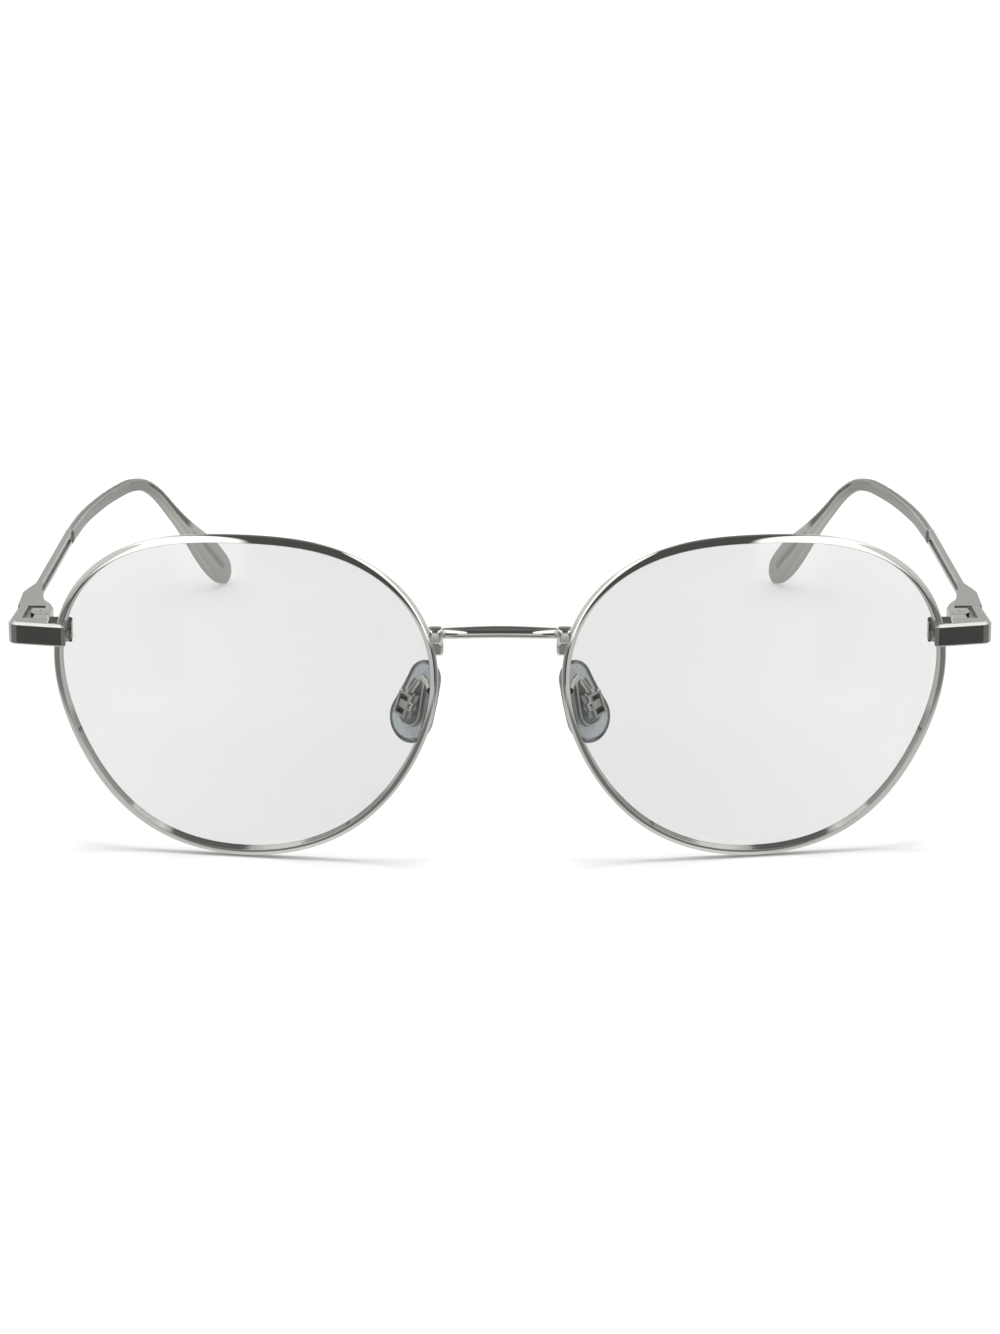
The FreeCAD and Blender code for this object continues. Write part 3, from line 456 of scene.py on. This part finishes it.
def rim_point(angle):
    """Centre-line point in the lens frame, its outward and its forward direction."""
    r, slope = RIM_RADIUS, 0.0
    for k, (c, s) in enumerate(RIM_WAVES, start=1):
        r += c * math.cos(k * angle) + s * math.sin(k * angle)
        slope += k * (-c * math.sin(k * angle) + s * math.cos(k * angle))
    x, z = r * math.cos(angle), r * math.sin(angle)
    along_x = slope * math.cos(angle) - r * math.sin(angle)
    along_z = slope * math.sin(angle) + r * math.cos(angle)
    length = math.hypot(along_x, along_z)
    point = Vector((x, RIM_SPHERE - math.sqrt(RIM_SPHERE * RIM_SPHERE - x * x - z * z), z))
    ahead = (point - Vector((0, RIM_SPHERE, 0))).normalized()
    outward = Vector((along_z / length, 0, -along_x / length))
    outward = (outward - ahead * outward.dot(ahead)).normalized()
    return point, outward, ahead


def wire_section():
    """D-shaped wire: a flat inner side against the lens, a full rounded outer side."""
    points = []
    for i in range(WIRE_STEPS):
        angle = 2 * math.pi * i / WIRE_STEPS
        c, s = math.cos(angle), math.sin(angle)
        reach, power = WIRE_OUTER if c >= 0 else WIRE_INNER
        points.append((WIRE_SPLIT + squared(c, reach, power),
                       squared(s, WIRE_HALF_DEPTH, power)))
    return points


def slit_angle():
    """Angle on the outer upper quarter at which the rim is as high as the slit."""
    height = (LENS.inverted() @ (FRONT @ Vector(SLIT_PLACE))).z
    low, high = math.radians(120), math.radians(180)
    for _ in range(50):
        mid = (low + high) / 2
        if rim_point(mid)[0].z > height:
            low = mid
        else:
            high = mid
    return (low + high) / 2


def build_rims():
    section = wire_section()
    first = slit_angle() + SLIT_HALF_ANGLE
    sweep = 2 * math.pi - 2 * SLIT_HALF_ANGLE
    rings = []
    for i in range(RIM_STEPS + 1):
        point, outward, ahead = rim_point(first + sweep * i / RIM_STEPS)
        rings.append([tuple(point + outward * u + ahead * v) for u, v in section])
    return pair("rim_wire", tube(rings), LENS, "front", wire, "eyewire",
                sharp=50)


rims = build_rims()

# ------------------------------------------------------------------ bridge
BRIDGE_STEPS = 36  # on each side of the middle
BRIDGE_HALF_SPAN = 7.75
BRIDGE_END_Y, BRIDGE_BOW = -0.45, 0.65  # the middle bows forwards
BRIDGE_END_Z, BRIDGE_ARCH = 33.33, 0.42  # and arches upwards
BRIDGE_END_DEPTH, BRIDGE_EXTRA_DEPTH = 1.3, 1.0  # and is deeper from front to back
BRIDGE_HALF_HEIGHT = 0.70

# boss at each end of the bridge, with a thinner tab below it, from the bottom up
# z, half width, half depth, centre x, centre y, superellipse power
FOOT = [
    (30.38, 0.42, 0.42, -8.45, -0.80, 2.4), (30.43, 0.70, 0.55, -8.50, -0.80, 2.6),
    (30.58, 0.86, 0.62, -8.56, -0.80, 2.9), (30.90, 0.97, 0.66, -8.62, -0.80, 3.4),
    (31.80, 1.03, 0.68, -8.68, -0.80, 3.6), (32.25, 1.05, 0.72, -8.72, -0.82, 3.4),
    (32.42, 1.08, 0.92, -8.79, -0.92, 2.9), (32.55, 1.10, 1.06, -8.80, -1.00, 2.8),
    (33.40, 1.11, 1.10, -8.80, -1.00, 2.7), (34.02, 1.11, 1.10, -8.80, -1.00, 2.7),
    (34.15, 1.07, 1.06, -8.80, -1.00, 2.7), (34.23, 0.99, 0.98, -8.80, -1.00, 2.7),
    (34.27, 0.88, 0.87, -8.80, -1.00, 2.7),
]


def build_bridge():
    rings = []
    for i in range(-BRIDGE_STEPS, BRIDGE_STEPS + 1):
        across = i / BRIDGE_STEPS
        bulge = 1 - across * across
        x = BRIDGE_HALF_SPAN * across
        y = BRIDGE_END_Y - BRIDGE_BOW * (1 - abs(across) ** 3)
        z = BRIDGE_END_Z + BRIDGE_ARCH * bulge
        half_depth = (BRIDGE_END_DEPTH + BRIDGE_EXTRA_DEPTH * bulge) / 2
        section = superellipse(half_depth, BRIDGE_HALF_HEIGHT, 3.0, 48)
        rings.append([(x, y + u, z + v) for u, v in section])
    piece("bridge_bar", tube(rings), FRONT, "front", wire, ["bridge"], sharp=50)


def build_bridge_bosses():
    rings = []
    for z, half_x, half_y, x, y, power in FOOT:
        section = superellipse(half_x, half_y, power, 36)
        rings.append([(x + u, y + v, z) for u, v in section])
    pair("bridge_boss", tube(rings), FRONT, "front", foot_skin, "bridge_foot",
         sharp=50)


build_bridge()
build_bridge_bosses()

# ------------------------------------------------------------------ temple tips
# centre x, y, z, pitch and yaw in degrees, thickness, height; from front to rear
TIP_STATIONS = [
    (-2.90, 53.1, 0.40, 0.0, 0.0, 1.15, 2.25), (-2.92, 57.0, 0.40, 0.0, -3.5, 1.45, 2.15),
    (-2.46, 67.5, 0.38, 0.0, -6.5, 1.50, 2.05), (-0.98, 79.5, 0.36, 0.0, -10.0, 1.55, 2.00),
    (0.87, 88.3, 0.33, -2.0, -15.0, 1.60, 2.00), (2.15, 92.3, 0.18, -7.0, -19.0, 1.60, 1.95),
    (3.62, 96.1, -0.65, -20.0, -21.0, 1.60, 1.90), (5.25, 99.9, -2.85, -35.0, -23.0, 1.65, 1.90),
    (7.25, 104.6, -6.90, -38.0, -23.5, 1.75, 2.15),
    (9.15, 109.2, -10.80, -38.0, -23.5, 1.95, 2.95),
    (11.35, 114.5, -15.25, -38.0, -23.5, 2.25, 4.70),
    (12.60, 117.6, -17.88, -38.0, -23.5, 2.30, 5.00),
    (13.65, 120.2, -20.05, -38.0, -23.5, 2.05, 4.30),
    (14.20, 121.45, -21.14, -38.0, -23.5, 1.45, 2.80),
]
TIP_SUBSTEPS = 14  # rings from one station to the next
TIP_RING = 72
# scale of the section and distance past the last station
TIP_END = [(0.95, 0.06), (0.86, 0.12), (0.70, 0.17), (0.48, 0.21), (0.24, 0.23)]
# Hollows in the inner side. Positions along the tip are station numbers; the centre and the
# half widths are shares of the height.
# darkest: the strongest painted dark reflection in the hollow
GROOVES = [
    # from the bend down to the start of the paddle, widening to a blunt end
    dict(depth=0.26, opens=(5.2, 6.6), closes=(8.5, 9.0), centre=0.16, half=0.07, widening=0.15,
         widens=(5.2, 8.8), darkest=1.0),
    # short wedge on the paddle
    dict(depth=0.18, opens=(8.95, 9.2), closes=(11.25, 11.45), centre=-0.02, half=0.03,
         widening=0.06, widens=(9.2, 11.2), darkest=0.6),
]
FULL_DARK_DEPTH = 0.2  # groove depth from which the painted dark reflection reaches full darkness
FRONT_DARK = 0.55  # painted dark reflection of the front part, fading out over the bend
FRONT_DARK_FADE = (5.6, 8.4)


def tip_station(place):
    """Catmull-Rom interpolation of the stations."""
    i = min(int(place), len(TIP_STATIONS) - 2)
    s = place - i
    rows = [TIP_STATIONS[max(0, min(len(TIP_STATIONS) - 1, j))] for j in range(i - 1, i + 3)]
    return [
        0.5 * (2 * b + (c - a) * s + (2 * a - 5 * b + 4 * c - d) * s * s
               + (3 * b - a - 3 * c + d) * s ** 3)
        for a, b, c, d in zip(*rows)
    ]


def tip_frame(x, y, z, pitch, yaw):
    return Matrix.Translation((x, y, z)) @ turn("Z", yaw) @ turn("X", pitch)


def tip_ring(place):
    """Ring of points at a place along the tip and the darkness of the painted dark reflection at
    each.
    """
    *pose, thick, tall = tip_station(place)
    to_temple = tip_frame(*pose)
    # squarer on the paddle, rounder at its end
    power = 2.9 + 1.3 * ease(place, 8.0, 10.0) - 1.6 * ease(place, 11.6, 13.0)
    ring, inlay = [], []
    for u, v in superellipse(thick / 2, tall / 2, power, TIP_RING):
        inner = u > 0
        dark = FRONT_DARK * (1 - ease(place, *FRONT_DARK_FADE))
        for groove in GROOVES:
            depth = groove["depth"] * ease(place, *groove["opens"])
            depth *= 1 - ease(place, *groove["closes"])
            half = tall * (groove["half"] + groove["widening"] * ease(place, *groove["widens"]))
            off = abs(v - groove["centre"] * tall) / half
            if inner and depth > 0 and off < 1:
                u -= depth * (1 - off ** 4)
                # painted dark reflection in the groove, strongest where it is deepest
                shade = min(groove["darkest"], depth / FULL_DARK_DEPTH)
                dark = max(dark, shade * (1 - off ** 6))
        ring.append(tuple(to_temple @ Vector((u, 0, v))))
        inlay.append(dark)
    return ring, inlay


def build_tips():
    rings, inlay = [], []
    for i in range(TIP_SUBSTEPS * (len(TIP_STATIONS) - 1) + 1):
        ring, ring_inlay = tip_ring(i / TIP_SUBSTEPS)
        rings.append(ring)
        inlay += ring_inlay
    *pose, thick, tall = TIP_STATIONS[-1]
    to_temple = tip_frame(*pose)
    section = superellipse(thick / 2, tall / 2, 2.6, TIP_RING)
    for scale, push in TIP_END:
        rings.append([tuple(to_temple @ Vector((u * scale, push, v * scale)))
                      for u, v in section])
    shape = tube(rings)
    inlay += [0.0] * (len(shape[0]) - len(inlay))
    pair("tip_sleeve", shape, TEMPLE, "temple_", tip_skin, "temple_tip",
         sharp=60, inlay=inlay)


build_tips()

# ------------------------------------------------------------------ nose pads
# In the pad frame +x faces the nose, -x the lens, and z runs up the pad.
# capsule outlines: centre z and radius of the low end, then of the high end
CUSHION_LOW, CUSHION_HIGH = (-2.42, 3.72), (3.4, 2.65)
BEAD_LOW, BEAD_HIGH = (-1.55, 1.95), (2.35, 1.15)
CUSHION_HALF_THICK = 1.05
CUSHION_EDGE = 0.95  # how far the rounded edge reaches inwards
CUSHION_RING = 72
FACE_SHRINK_LOW, FACE_SHRINK_HIGH = 1.9, 1.6  # radius lost from the edge of a face to its cap
FACE_STEPS = (0.2, 0.4, 0.6, 0.8, 1.0)
LOW_END_SHIFT = 0.30  # the low end leans this far towards +y
BEAD_X, BEAD_Y = -1.06, 0.08
BEAD_RADIUS, SPINE_RADIUS = 0.13, 0.11
SPINE_TOP, SPINE_LENGTH, SPINE_BOW = 3.4, 1.9, 0.10
SPINE_STEPS = 12
BEAD_OUTLINE_STEPS = 96
BEAD_RING = 14


def capsule_outline(low, high, count):
    """Even steps round two circles and along their common tangents, as (y, z)."""
    lean = math.asin((low[1] - high[1]) / (high[0] - low[0]))
    arc_steps = count // 3
    side_steps = (count - 2 * arc_steps) // 2

    def on_circle(end, angle):
        z, radius = end
        return (radius * math.cos(angle), z + radius * math.sin(angle))

    points = []
    for end, other, first, sweep in ((high, low, lean, math.pi - 2 * lean),
                                     (low, high, math.pi - lean, math.pi + 2 * lean)):
        points += [on_circle(end, first + sweep * i / arc_steps) for i in range(arc_steps)]
        start = Vector(on_circle(end, first + sweep))
        stop = Vector(on_circle(other, first + sweep))
        points += [tuple(start.lerp(stop, i / side_steps)) for i in range(side_steps)]
    return points


def cushion_ring(x, inset, shrink=0.0):
    """Outline of the cushion at one level."""
    low = (CUSHION_LOW[0], CUSHION_LOW[1] - inset - FACE_SHRINK_LOW * shrink)
    high = (CUSHION_HIGH[0], CUSHION_HIGH[1] - inset - FACE_SHRINK_HIGH * shrink)
    return [(x, y + LOW_END_SHIFT * ease(z, 2.0, -3.5), z)
            for y, z in capsule_outline(low, high, CUSHION_RING)]


def build_cushions():
    # flat face towards the lens, rounded edge, flat face towards the nose
    rings = [cushion_ring(-CUSHION_HALF_THICK, CUSHION_EDGE, k) for k in reversed(FACE_STEPS)]
    for degrees in range(-90, 91, 10):
        angle = math.radians(degrees)
        rings.append(cushion_ring(CUSHION_HALF_THICK * math.sin(angle),
                                  CUSHION_EDGE * (1 - math.cos(angle))))
    rings += [cushion_ring(CUSHION_HALF_THICK, CUSHION_EDGE, k) for k in FACE_STEPS]
    pair("pad_cushion", tube(rings), PAD, "nose_pad_", silicone, "nose_pad")


def round_wire(points, radius, closed):
    """Round wire through points lying in a plane of constant x in the pad frame."""
    up = Vector((1, 0, 0))
    rings = []
    count = len(points)
    for i, point in enumerate(points):
        before = Vector(points[(i - 1) % count] if closed or i > 0 else point)
        after = Vector(points[(i + 1) % count] if closed or i < count - 1 else point)
        across = (after - before).normalized().cross(up).normalized()
        ring = []
        for k in range(BEAD_RING):
            angle = 2 * math.pi * k / BEAD_RING
            ring.append(tuple(Vector(point) + across * (radius * math.cos(angle))
                              + up * (radius * math.sin(angle))))
        rings.append(ring)
    return tube(rings, closed)


def build_beads():
    """Bright bead round the metal core, just proud of the lens side of the cushion, with a
    short spine running down inside its upper end."""
    outline = [(BEAD_X, y + BEAD_Y, z)
               for y, z in capsule_outline(BEAD_LOW, BEAD_HIGH, BEAD_OUTLINE_STEPS)]
    spine = [(BEAD_X, BEAD_Y + SPINE_BOW * math.sin(i / SPINE_STEPS * math.pi),
              SPINE_TOP - SPINE_LENGTH * i / SPINE_STEPS) for i in range(SPINE_STEPS + 1)]
    verts, faces = round_wire(outline, BEAD_RADIUS, closed=True)
    spine_verts, spine_faces = round_wire(spine, SPINE_RADIUS, closed=False)
    faces += [tuple(i + len(verts) for i in f) for f in spine_faces]
    pair("core_bead", (verts + spine_verts, faces), PAD, "nose_pad_", bead_skin, None)


build_cushions()
build_beads()


# ------------------------------------------------------------------ studio
def studio_level(t, ray):
    """Brightness of the surroundings in reflections, the same left and right."""
    part = t.node("ShaderNodeSeparateXYZ", {0: ray}).outputs
    side = t.math("ABSOLUTE", part[0])
    # degrees; azimuth 0 is the camera's side and 180 the far side
    az = t.times(t.math("ARCTAN2", side, t.times(part[1], -1.0)), 180.0 / math.pi)
    el = t.times(t.math("ARCSINE", part[2]), 180.0 / math.pi)
    ramp, over = t.ramp, t.mix_level

    def band(value, limits, soft):
        first, last = limits
        return t.times(ramp(value, start=first - soft, end=first + soft),
                       ramp(value, start=last - soft, end=last + soft, at_start=1.0, at_end=0.0))

    def patch(az_limits, el_limits, soft):
        return t.times(band(az, az_limits, soft), band(el, el_limits, soft))

    def blend(base, level, mask):
        return over(mask, base, level)

    # upper half: a dark gap overhead and in front, two tall white panels beside it, grey walls
    up = blend(0.075, 1.22, ramp(side, start=0.315, end=0.345))
    wall = ramp(el, start=0.0, end=16.0, at_start=0.48, at_end=0.66)
    up = blend(up, wall, ramp(side, start=0.63, end=0.70))
    far_gap = t.times(ramp(az, start=100, end=150),
                      ramp(side, start=0.30, end=0.42, at_start=1.0, at_end=0.0))
    up = blend(up, 0.15, far_gap)
    # far side: narrow upright panels, then a pale low wall straight behind, dark above
    low_back = ramp(el, start=36.0, end=44.0, at_start=1.0, at_end=0.0)
    behind = ramp(el, start=14.5, end=18.5, at_start=0.50, at_end=0.11)
    panels = [((129, 136), 0.38), ((136, 148.5), 0.76), ((148.5, 158), 0.40),
              ((158, 172.5), 0.92), ((172.0, 184), behind)]  # azimuths, level
    for limits, level in panels:
        up = blend(up, level, t.times(patch(limits, (-90, 90), soft=1.2), low_back))
    # lower half: skirting that pales towards the far side, pale ground
    skirting = ramp(az, start=88.0, end=112.0, at_start=0.19, at_end=0.58)
    down = blend(skirting, 0.55, ramp(el, start=-22.0, end=-34.0))
    down = t.plus(down, ramp(el, start=-60.0, end=-88.0, at_start=0.0, at_end=0.16))
    # camera's side: a dark patch of ground with paler ground below it
    front = blend(0.55, 0.17, ramp(el, start=-22.0, end=-28.0))
    front = blend(front, 0.68, ramp(el, start=-49.0, end=-58.0))
    down = blend(down, front, ramp(az, start=30.0, end=42.0, at_start=1.0, at_end=0.0))
    far_ground = t.times(ramp(az, start=150, end=160),
                         ramp(el, start=-20.0, end=-26.0, at_start=1.0, at_end=0.0))
    down = blend(down, 0.62, far_ground)
    # the horizon sits 5 degrees lower on the camera's side
    above_sill = t.plus(el, ramp(az, start=45.0, end=65.0, at_start=5.0, at_end=0.0))
    total = blend(down, up, ramp(above_sill, start=-4.0, end=0.0))
    return blend(total, 0.068, patch((27.0, 45.0), (-21.0, -5.5), soft=1.5))


def build_world():
    """White to the camera, the studio in reflections, dim grey to everything else."""
    world = bpy.data.worlds.new("studio")
    scene.world = world
    t = Tree(world, "ShaderNodeOutputWorld")
    ray = t.node("ShaderNodeTexCoord").outputs["Generated"]
    path = t.node("ShaderNodeLightPath").outputs
    reflected = t.tinted(studio_level(t, ray), (1.0, 1.0, 0.97))
    plain = t.mix(path["Is Camera Ray"], (0.20, 0.20, 0.20, 1), (1, 1, 1, 1))
    seen = t.mix(path["Is Glossy Ray"], plain, reflected)
    t.surface(t.node("ShaderNodeBackground", {"Color": seen, "Strength": 1.0}).outputs[0])


def build_lamp(name, energy, angle, tilt, blockers):
    """Sun from overhead; angle (its spread) and tilt in degrees."""
    data = bpy.data.lights.new(name, "SUN")
    data.energy = energy
    data.angle = math.radians(angle)
    obj = bpy.data.objects.new(name, data)
    scene.collection.objects.link(obj)
    obj.rotation_euler = (math.radians(tilt), 0, 0)
    obj.visible_glossy = False
    obj.light_linking.blocker_collection = blockers


def build_lamps():
    # only the rims throw a shadow
    blockers = bpy.data.collections.new("close_lamp_blockers")
    for rim in rims:
        blockers.objects.link(rim)
    build_lamp("overhead_broad", energy=2.05, angle=110, tilt=0, blockers=blockers)
    build_lamp("overhead_close", energy=1.70, angle=17, tilt=1.5, blockers=blockers)


def build_floor():
    mesh = bpy.data.meshes.new("floor")
    bm = bmesh.new()
    bmesh.ops.create_grid(bm, x_segments=8, y_segments=8, size=6.0)
    bm.to_mesh(mesh)
    bm.free()
    floor = bpy.data.objects.new("floor", mesh)
    scene.collection.objects.link(floor)
    clearance = 0.00002
    floor.location = (0, 0, min(cad_low.z, 0.0) - clearance)
    mesh.materials.append(floor_material())
    floor.visible_glossy = False


def build_camera():
    """Long lens in front of the spectacles, looking slightly down at them."""
    aim = Vector((0.0, ASSEMBLY_SHIFT[1] * MM, 0.0279456))
    distance = 0.62
    lift = math.radians(18.0)
    data = bpy.data.cameras.new("camera")
    camera = bpy.data.objects.new("camera", data)
    scene.collection.objects.link(camera)
    scene.camera = camera
    camera.location = aim + distance * Vector((0, -math.cos(lift), math.sin(lift)))
    camera.rotation_mode = "QUATERNION"
    camera.rotation_quaternion = (aim - camera.location).to_track_quat("-Z", "Y")
    data.sensor_width = 36.0
    data.lens = 122.810195
    data.clip_start = 0.01
    data.clip_end = 50.0


build_world()
build_lamps()
build_floor()
build_camera()

scene.view_settings.view_transform = "Standard"
scene.view_settings.look = "None"
scene.view_settings.exposure = 0.0
scene.view_settings.gamma = 1.0
scene.cycles.max_bounces = 12
scene.cycles.transparent_max_bounces = 24
scene.cycles.use_denoising = True
